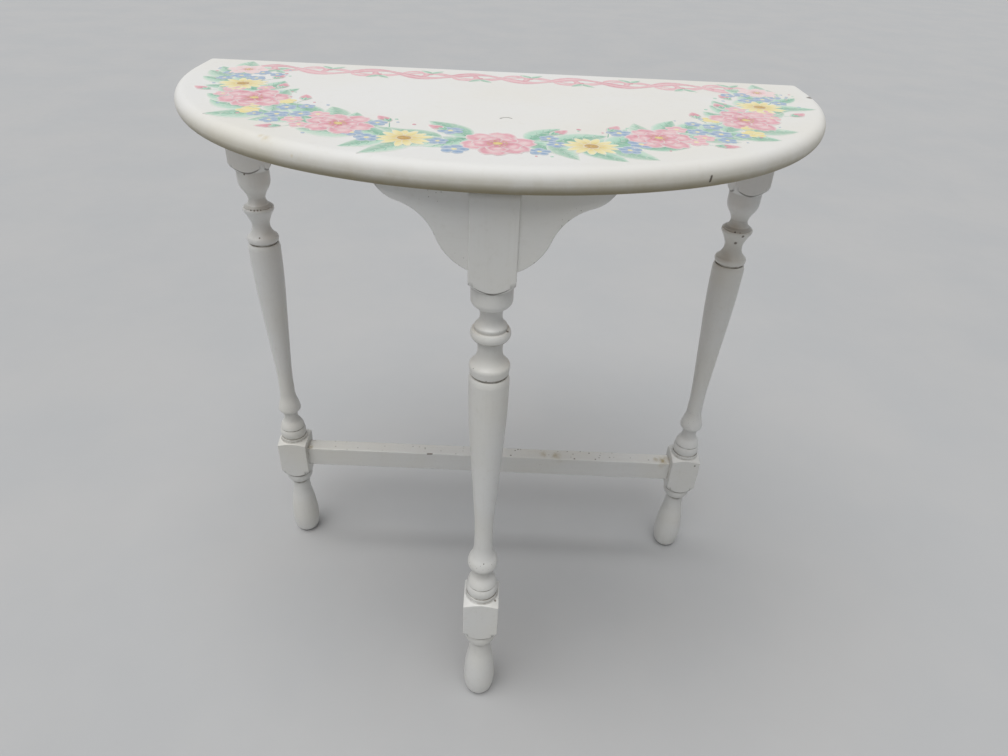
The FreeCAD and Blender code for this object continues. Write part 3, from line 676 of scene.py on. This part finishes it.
# The border's colours, and the colour of the paint that their edges fade into
WINE, CRIMSON, ROSE = rgb(192, 98, 122), rgb(194, 104, 126), rgb(205, 116, 138)
PINK, BLUSH = rgb(230, 172, 182), rgb(241, 217, 216)
MINT, LEAF, SAGE = rgb(190, 224, 206), rgb(148, 203, 177), rgb(98, 160, 134)
LEMON, STRAW, OCHRE, UMBER = rgb(244, 235, 188), rgb(236, 218, 146), rgb(204, 168, 98), rgb(186, 146, 88)
SKY, BLUE, IVORY = rgb(196, 209, 222), rgb(136, 164, 196), rgb(235, 231, 222)
PAPER = rgb(234, 232, 228)

# The border's films: height of the lowest over the top, step of a layer, small step between neighbours
# and how often it is taken, and depth below the top's face
FILM_LIFT, LAYER_STEP, BLADE_STEP, BLADE_CYCLE, FILM_SUNK = 0.04, 0.03, 0.002, 14, 0.5
# The layer that the large flowers begin in: small ones and buds begin one below it
BLOOM = 8


def blend(first, second, part):
    """A colour part of the way from one to another."""
    part = min(1.0, max(0.0, part))
    return [a + (b - a) * part for a, b in zip(first, second)]


class Wash:
    """Thin films of colour that lie on the top, gathered into one piece."""

    def __init__(self, name):
        self.name = name
        self.points, self.faces, self.tints = [], [], []
        self.blades = 0

    def blade(self, spine, widths, colour, layer, across=5, notch=0.0, fade=0.8):
        """A film along a line, as wide at each point as told. colour(along, across) gives its tint."""
        spine = np.array(spine, float)
        along = np.gradient(spine, axis=0)
        along /= np.hypot(along[:, 0], along[:, 1])[:, None] + 1e-9
        aside = np.stack([-along[:, 1], along[:, 0]], -1)
        rows = len(spine)
        base = len(self.points)
        self.blades += 1
        high = TOP + FILM_LIFT + layer * LAYER_STEP + self.blades % BLADE_CYCLE * BLADE_STEP
        offsets = np.concatenate([[-1], np.linspace(-0.72, 0.72, across), [1]])
        for i in range(rows):
            part = i / (rows - 1)
            for s in offsets:
                spot = spine[i] + aside[i] * widths[i] * s + along[i] * notch * part ** 4 * (abs(s) - 0.55)
                at_edge = abs(s) == 1 or i in (0, rows - 1)
                self.points.append((spot[0], spot[1], high))
                self.tints.append(blend(colour(part, s), PAPER, fade if at_edge else 0.0))
        self.close(base, rows, len(offsets))

    def close(self, base, rows, across):
        """A film's faces: its grid, and sides and an underside that close it."""
        grid = base + np.arange(rows * across).reshape(rows, across)
        quads = np.stack([grid[:-1, :-1], grid[1:, :-1], grid[1:, 1:], grid[:-1, 1:]], -1)
        ring = np.concatenate([grid[0], grid[1:, -1], grid[-1, -2::-1], grid[-2:0:-1, 0]])
        under = len(self.points) + np.arange(len(ring))
        sides = np.stack([ring, np.roll(ring, -1), np.roll(under, -1), under], -1)
        for index in ring:
            self.points.append((*self.points[index][:2], TOP - FILM_SUNK))
            self.tints.append(self.tints[index])
        self.faces += [*quads.reshape(-1, 4).tolist(), *sides.tolist(), under[::-1].tolist()]

    def lay(self, material):
        mesh = make_mesh(self.name, self.points, self.faces, tints=self.tints)
        face_outwards(mesh)
        add_piece(self.name, mesh, material, "painted_top")


def toward(heading):
    """A step of one millimetre at a heading in degrees."""
    angle = radians(heading)
    return np.array([cos(angle), sin(angle)])


def heading_of(step):
    """The heading of a step, in degrees."""
    return degrees(atan2(step[1], step[0]))


def curve_line(start, heading, length, bend, rows):
    """A line that sets off at a heading in degrees and bends evenly."""
    points = [np.array(start, float)]
    for i in range(rows - 1):
        points.append(points[-1] + toward(heading + bend * (i + 0.5) / (rows - 1)) * length / (rows - 1))
    return points


def bulge(rows, width, least, power, start=0.0, span=1.0, skew=1.0):
    """Widths along a film that swells and narrows again."""
    parts = [i / (rows - 1) for i in range(rows)]
    return [max(least, width * sin(pi * (start + span * part ** skew)) ** power) for part in parts]


def shift(first, second, start, along=0.0, across=0.0):
    """A tint that runs from one colour to another along and across a film."""
    return lambda t, s: blend(first, second, start + along * t + across * abs(s))


def dot(wash, spot, size, inner, outer, layer):
    """A round touch of the brush."""
    rows = 7 if size < 2.5 else 13
    turns = [pi * i / (rows - 1) for i in range(rows)]
    line = [(spot[0] - size * cos(turn), spot[1]) for turn in turns]
    widths = [max(0.12, size * sin(turn)) for turn in turns]
    wash.blade(line, widths, lambda t, s: blend(inner, outer, abs(s) * 0.8 + abs(2 * t - 1) * 0.3), layer,
               fade=0.45)


def leaf(wash, start, heading, length, width, bend, layer, pale=0.0):
    """A leaf in two tones with a dark midrib, and with veins where it is large."""
    rows = 12
    line = curve_line(start, heading, length, bend, rows)
    widths = bulge(rows, width, 0.15, 0.9, skew=0.8)

    def tone(t, s):
        half = blend(LEAF, MINT, 0.25 + 0.75 * abs(s)) if s > 0 else blend(SAGE, LEAF, 0.35 + 0.65 * abs(s))
        return blend(blend(half, IVORY, 0.45 * t * abs(s)), IVORY, pale)

    wash.blade(line, widths, tone, layer, 7)
    rib = [max(0.1, 0.014 * length * (1 - i / (rows - 1))) for i in range(rows)]
    wash.blade(line, rib, shift(SAGE, LEAF, pale, 1.0), layer + 1, 3)
    if length < 30:
        return
    vein_tone = shift(SAGE, LEAF, 0.25 + pale, 0.6)
    for i in (2, 4, 6, 8):
        aim = heading_of(line[i + 1] - line[i])
        for lean in (-1, 1):
            vein = curve_line(line[i], aim + lean * 48, widths[i] * 0.95, -lean * 22, 5)
            wash.blade(vein, [0.5, 0.45, 0.36, 0.26, 0.12], vein_tone, layer + 1, 3)


def petals(wash, middle, size, count, turn, deep, pale, layer, rng):
    """A ring of round overlapping petals, deep at the heart and pale at the rim."""
    rows = 13
    for i in range(count):
        heading = turn + 360 / count * i + rng.uniform(-6, 6)
        start = middle + 0.05 * size * toward(heading)
        line = curve_line(start, heading, size * rng.uniform(0.9, 1.06), rng.uniform(-10, 10), rows)
        broad = size * 2.5 / count * rng.uniform(0.92, 1.06)
        widths = bulge(rows, broad, broad * 0.12, 0.62, 0.04, 0.9, 1.25)
        tint, lean = rng.uniform(-0.12, 0.14), rng.uniform(-0.35, 0.35)

        def tone(t, s, tint=tint, lean=lean):
            vein = 0.12 * cos(11 * s + 2 * lean) * (1 - t)
            lit = max(0.0, 1 - ((t - 0.68) / 0.22) ** 2 - ((s - lean) / 0.6) ** 2)
            edge = 0.30 * max(0.0, t - 0.86) / 0.14
            return blend(blend(deep, pale, 0.15 + 1.0 * t ** 0.9 + vein + tint - edge), BLUSH, 0.85 * lit)

        wash.blade(line, widths, tone, layer + i % 3, 9, notch=size * 0.07)


def blossom(wash, middle, size, turn, deep, pale, rng):
    """An open flower: a wide ring of petals, a smaller one in it, and a stippled eye."""
    petals(wash, middle, size, 6, turn, deep, pale, BLOOM, rng)
    petals(wash, middle, size * 0.62, 5, turn + 31, blend(deep, ROSE, 0.5), pale, BLOOM + 4, rng)
    dot(wash, middle, size * 0.13, STRAW, OCHRE, BLOOM + 8)
    for i in range(11):
        heading = turn + 33 * i + rng.uniform(-8, 8)
        far = size * rng.uniform(0.17, 0.27)
        dot(wash, middle + far * toward(heading), size * 0.03, OCHRE, OCHRE, BLOOM + 9)


def daisy(wash, middle, size, turn, rng):
    """Slim lemon petals round an ochre eye."""
    count, rows = 13, 8

    def tone(t, s):
        return blend(blend(STRAW, LEMON, t * 1.1 + 0.3 * s), OCHRE, 0.4 * (1 - t) ** 3)

    for i in range(count):
        heading = turn + 360 / count * i + rng.uniform(-5, 5)
        start = middle + 0.2 * size * toward(heading)
        line = curve_line(start, heading, size * rng.uniform(0.72, 0.86), rng.uniform(-12, 12), rows)
        wash.blade(line, bulge(rows, size * 0.17, 0.15, 0.8, 0.12, 0.82), tone, BLOOM + i % 2)
    dot(wash, middle, size * 0.25, OCHRE, UMBER, BLOOM + 3)


def starlet(wash, middle, size, turn, deep, pale, layer):
    """A small five-petalled flower."""
    for i in range(5):
        dot(wash, middle + 0.6 * size * toward(turn + 72 * i), size * 0.44, deep, pale, layer + i % 2)
    dot(wash, middle, size * 0.2, LEMON, STRAW, layer + 3)


def bud(wash, start, heading, length):
    """A closed pink bud in a green cup."""
    rows = 9
    line = curve_line(start, heading, length, 8, rows)
    widths = bulge(rows, length * 0.27, 0.15, 0.9, 0.08, 0.9, 0.9)
    wash.blade(line, widths, lambda t, s: blend(ROSE, blend(PINK, BLUSH, abs(s)), t), BLOOM - 1, 7)
    for lean in (-22, 0, 22):
        leaf(wash, start, heading + lean, length * 0.5, length * 0.09, lean * 0.6, BLOOM + 1)


def stem(wash, line, thick, thin):
    """A tapering stalk along a line."""
    rows = len(line)
    widths = [thick + (thin - thick) * i / (rows - 1) for i in range(rows)]
    wash.blade(line, widths, shift(SAGE, LEAF, 0.3, across=0.5), 0, 3)


class Rim:
    """Places on one half of the top, along its curved rim and inwards from it."""

    def __init__(self, side):
        self.side = side
        self.line = top_outline()
        self.lengths = np.concatenate([[0], np.cumsum(np.hypot(*np.diff(self.line, axis=0).T))])
        self.inward = inset_line(self.line, 1.0) - self.line

    def at(self, part, inset):
        """A place and the rim's heading: part is 0 at the middle of the front and 1 at the rear corner."""
        half = self.lengths[-1] / 2
        s = half + self.side * part * half
        spot, aim = (np.array([np.interp(s, self.lengths, values) for values in row.T])
                     for row in (self.line, self.inward))
        aim /= np.hypot(*aim)
        return spot + aim * inset, heading_of((aim[1], -aim[0]))

    def vine(self, part):
        """A place on the vine, which swings about a line inside the rim."""
        return self.at(part, 66 + 11 * sin(part * 6.5 * pi + 0.4))[0]


def lay_leaves(leaves, rim, rng):
    """Leaves in pairs along one half of the vine."""
    for i, part in enumerate(np.linspace(0.055, 0.90, 19)):
        spot = rim.vine(part)
        heading = heading_of(rim.vine(part + 0.01) - spot)
        for lean in (-1, 1):
            long = rng.uniform(46, 66) * (1 - 0.2 * part)
            leaf(leaves, spot, heading + lean * rim.side * rng.uniform(32, 66), long,
                 long * rng.uniform(0.21, 0.29), lean * rim.side * rng.uniform(-36, -12), 1 + 2 * (i % 2),
                 rng.uniform(0.0, 0.35))


def lay_flowers(flowers, rim, rng):
    """The large flowers on one half of the vine, and clusters of blue ones."""
    plan = [(0.165, "daisy", 24), (0.315, "pink", 30), (0.455, "blue", 0), (0.60, "rose", 33),
            (0.745, "daisy", 25), (0.83, "blue", 0), (0.90, "small", 21)]
    hearts = {"pink": (ROSE, PINK), "small": (PINK, BLUSH), "rose": (WINE, PINK)}
    cluster = [(-0.03, 76, 10), (0.0, 60, 11), (0.034, 80, 9.5), (0.014, 96, 8), (-0.024, 44, 8.5),
               (0.03, 46, 7.5)]
    for part, kind, size in plan:
        spot = rim.vine(part)
        turn = rng.uniform(0, 72)
        if kind == "daisy":
            daisy(flowers, spot, size, turn, rng)
        elif kind in hearts:
            blossom(flowers, spot, size, turn, *hearts[kind], rng)
        else:
            for along, inset, small in cluster:
                place = rim.at(part + along, inset + 4 * sin(part * 40))[0]
                starlet(flowers, place, small, rng.uniform(0, 72), BLUE, SKY, BLOOM)


def lay_buds(vine, flowers, rim):
    """Buds on stalks that leave one half of the vine."""
    back = 0.045
    for part, inset, lean in ((0.105, 94, 35), (0.235, 100, 40), (0.385, 36, -35), (0.525, 104, 38),
                              (0.675, 100, 30), (0.70, 34, -30), (0.79, 98, 30)):
        spot, across = rim.at(part, inset)
        heading = across + (0 if rim.side > 0 else 180) + lean * rim.side
        root = rim.vine(part - back)
        stem(vine, [root + (spot - root) * i / 7 for i in range(8)], 0.7, 0.45)
        bud(flowers, spot, heading, 23)


def lay_fillers(vine, flowers, rim, rng):
    """Small flowers in threes between the large ones, and dots beside the vine."""
    for part, deep, pale in ((0.085, BLUE, SKY), (0.24, BLUE, SKY), (0.385, PINK, BLUSH),
                             (0.53, STRAW, LEMON), (0.675, PINK, BLUSH)):
        for along, inset in ((-0.016, 46), (0.012, 88), (0.02, 60)):
            place = rim.at(part + along, inset + rng.uniform(-6, 6))[0]
            starlet(flowers, place, rng.uniform(8.5, 12), rng.uniform(0, 72), deep, pale, BLOOM - 1)
    for _ in range(34):
        part = rng.uniform(0.04, 0.92)
        spot = rim.at(part, rng.choice([rng.uniform(28, 40), rng.uniform(96, 114)]))[0]
        dot(vine, spot, rng.uniform(1.0, 2.0), *rng.choice([(SKY, BLUE), (PINK, ROSE), (MINT, LEAF)]), 5)


def lay_wave(wave, rng):
    """The rear edge: a broad brushed wave with a curl and a pair of leaves in each hollow."""
    span, length, level, swell = 560.0, 112.0, 137.0, 14.0
    rows, tones = 300, [rng.random() for _ in range(40)]
    reach = [span * i / (rows - 1) for i in range(rows)]

    def ribbon(height, thin, more, lag):
        line = [(x - span / 2, level + height * sin(2 * pi * x / length)) for x in reach]
        ends = [min(1, x / 25, (span - x) / 25) for x in reach]
        widths = [thin + more * sin(2 * pi * x / length + lag) ** 2 for x in reach]
        return line, [max(0.3, end * width) for end, width in zip(ends, widths)]

    def pink(deep, light):
        return blend(blend(ROSE, PINK, deep), BLUSH, light)

    def broad_tone(t, s):
        tone = float(np.interp(t * 39, range(40), tones))
        return pink(0.15 + 0.7 * tone + 0.3 * (1 - abs(s)), 0.75 * (1 - abs(s)) ** 1.5)

    def slim_tone(t, s):
        return pink(0.45 + 0.5 * sin(40 * t) ** 2, 0.7 * (1 - abs(s)))

    def curl_tone(t, s):
        return pink(0.5 + 0.5 * t, 0.6 * (1 - abs(s)))

    wave.blade(*ribbon(swell, 3.4, 5.2, 0.7), broad_tone, 3, 7)
    wave.blade(*ribbon(-0.75 * swell, 2.2, 3.6, -0.5), slim_tone, 1)
    for i in range(10):
        up = 1 if i % 2 == 0 else -1
        start = np.array([-span / 2 + length / 4 + i * length / 2, level + swell * up])
        curl = curve_line(start + np.array([-20, -5 * up]), 25 * up, 74, -330 * up, 40)
        wave.blade(curl, bulge(40, 4.0, 0.25, 0.8, 0.12, 0.86), curl_tone, 2)
        foot = start + np.array([3, -23 * up])
        for lean in (-34, 34):
            leaf(wave, foot, -90 * up + lean, 19, 4.4, lean * 0.5, 4, 0.2)
        dot(wave, foot + np.array([0, 4 * up]), 2.6, PINK, ROSE, 6)


def make_border(material):
    """A flowering vine along the curved rim, and a pink wave along the rear edge."""
    rng = random.Random(21)
    vine, leaves, flowers = Wash("border_vine"), Wash("border_leaves"), Wash("border_flowers")
    wave = Wash("border_wave")
    start, run, count = 0.03, 0.87, 110
    for side in (-1, 1):
        rim = Rim(side)
        line = [rim.vine(start + run * i / (count - 1)) for i in range(count)]
        stem(vine, line, 1.1, 0.5)
        lay_leaves(leaves, rim, rng)
        lay_flowers(flowers, rim, rng)
        lay_buds(vine, flowers, rim)
        lay_fillers(vine, flowers, rim, rng)
    blossom(flowers, rim.at(0, 64)[0], 32, 18, CRIMSON, PINK, rng)
    lay_wave(wave, rng)
    for wash in (vine, leaves, flowers, wave):
        wash.lay(material)


def set_camera():
    """The photograph's own view, from above the front edge, with a slight roll."""
    picture_width, focal_length, sensor = 1008, 716.9, 36.0
    yaw, pitch, roll = (radians(angle) for angle in (0.492, 34.135, 2.791))
    data = bpy.data.cameras.new("camera")
    data.sensor_fit = "HORIZONTAL"
    data.sensor_width = sensor
    data.lens = focal_length / picture_width * sensor
    data.clip_start, data.clip_end = 0.02, 100.0
    camera = add_object("camera", data)
    level = Matrix.Rotation(-yaw, 4, "Z") @ Matrix.Rotation(pi / 2 - pitch, 4, "X")
    matrix = level @ Matrix.Rotation(roll, 4, "Z")
    matrix.translation = (0.0095, -0.7103, 0.8926)
    camera.matrix_world = matrix
    bpy.context.scene.camera = camera


def set_floor():
    """A plain pale floor, a hair below the feet."""
    reach, level = 30, -0.0002
    corners = [(x * reach, y * reach, level) for x, y in ((-1, -1), (1, -1), (1, 1), (-1, 1))]
    mesh = bpy.data.meshes.new("floor")
    mesh.from_pydata(corners, [], [[0, 1, 2, 3]])
    f = Finish("pale_floor")
    tone = f.mix(f.spread(f.noise(3, 4), 0.3, 0.7), rgb(184, 185, 186), rgb(188, 188, 188))
    rough = f.spread(f.noise(20, 4), 0.3, 0.7, 0.75, 0.85)
    mesh.materials.append(f.finish(tone, rough, f.bump(f.noise(150, 3), 0.05, 0.001)))
    add_object("floor", mesh)


def set_world():
    """A world that lights the table faintly, and is pale to the eye and in reflections."""
    world = bpy.data.worlds.new("studio")
    bpy.context.scene.world = world
    world.use_nodes = True
    w = Nodes(world.node_tree)
    # One for what the eye meets, also in a reflection or through glass, and zero for light on its way
    ways = w.new("ShaderNodeLightPath", {}).outputs
    seen = w.math("MAXIMUM", ways["Is Camera Ray"], ways["Is Glossy Ray"])
    seen = w.math("MAXIMUM", seen, ways["Is Transmission Ray"])
    lamp = w.nodes["Background"]
    w.put(lamp.inputs["Color"], rgb(232, 236, 240))
    w.put(lamp.inputs["Strength"], 0.16)
    backdrop = w.new("ShaderNodeBackground", {"Color": rgb(206, 208, 210)})
    choice = w.new("ShaderNodeMixShader", {0: seen, 1: lamp.outputs[0], 2: backdrop.outputs[0]})
    w.put(w.nodes["World Output"].inputs["Surface"], choice.outputs[0])
    bpy.context.scene.view_settings.view_transform = "Standard"


def set_lights():
    """A wide, even light from above, and a faint one from the front."""
    for name, turn, strength, spread in (("key", (13, -9, 0), 2.64, 58), ("front", (58, 0, -28), 0.07, 50)):
        data = bpy.data.lights.new(name, "SUN")
        data.energy = strength
        data.angle = radians(spread)
        add_object(name, data).rotation_euler = [radians(angle) for angle in turn]


def make_legs():
    """The three legs, each with its own marks: place from its axis, height and radius."""
    front = [(15.6, -5.5, 560.4, 2.4), (5, -13.4, 549, 2.0), (-15.2, -12, 522, 1.1), (1.5, -15.0, 257, 1.7),
             (16.6, -12, 190.6, 2.4)]
    left = [(x, -sqrt(17.4 ** 2 - x * x), 557.4, size)
            for x, size in ((-4, 1.6), (0.5, 1.9), (4.5, 2.2), (8, 1.8))]
    left += [(-4, -19.2, 602.8, 2.0), (1, -16.2, 521, 2.0)]
    right = [(-7, -16.0, 557.2, 1.9), (-1, -17.4, 557.2, 1.3), (3.4, -18.3, 553, 3.0),
             (-2.4, -13.6, 541.5, 3.6), (13.5, -HALF_SIDE, 183, 2.8)]
    for place, node, x, y, marks, ledge_dirt in (
            ("front", "front_leg", 0, FRONT_AXIS, front, 0.2),
            ("rear_left", "rear_leg_left", -REAR_REACH, REAR_AXIS, left, 0.55),
            ("rear_right", "rear_leg_right", REAR_REACH, REAR_AXIS, right, 0.5)):
        marks = [(x + aside, y + ahead, height, radius) for aside, ahead, height, radius in marks]
        paint = white_paint("white_" + place.replace("rear_", "") + "_leg", UPRIGHT_STROKES, marks)
        make_leg("leg_" + place, node, x, y, paint, ledge_dirt)


def show_plain_pieces(apron_paint):
    """Materials for the pieces that stay as the CAD model has them."""
    pine, pine_dark = rgb(200, 168, 124), rgb(164, 128, 86)
    looks = {
        "dowel": bare_wood("dowel_beech", rgb(214, 184, 144), rgb(184, 148, 106), "x"),
        "screw": screw_metal(),
        "center_rail": bare_wood("bare_wood_deep", pine, pine_dark, "y"),
        "rear_apron": apron_paint,
        "glue_block": bare_wood("bare_wood_across", pine, pine_dark, "x"),
    }
    for name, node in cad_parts.items():
        for word, material in looks.items():
            if word in name:
                node.data.materials.clear()
                node.data.materials.append(material)
                break


bar_nicks = [(-94 + 1.5 * i, 131, 175.7, 3.0) for i in range(5)] + [(-20, 131, 146, 2.0)]
bar_stains = [(x, y, BAR_TOP, radius) for x, y, radius in (
    (268, 138, 20), (274, 141, 18), (258, 139, 11), (104, 138, 15), (84, 141, 12), (-274, 135, 9))]
bar_paint = white_paint("white_bar", LEVEL_STROKES, bar_nicks, bar_stains)
bracket_paint = white_paint("white_brackets", LEVEL_STROKES)
make_legs()
make_bracket("bracket_left", -1, bracket_paint)
make_bracket("bracket_right", 1, bracket_paint)
make_stretcher(bar_paint)
make_top(top_paint())
make_border(border_paint())
show_plain_pieces(bar_paint)
set_camera()
set_floor()
set_world()
set_lights()
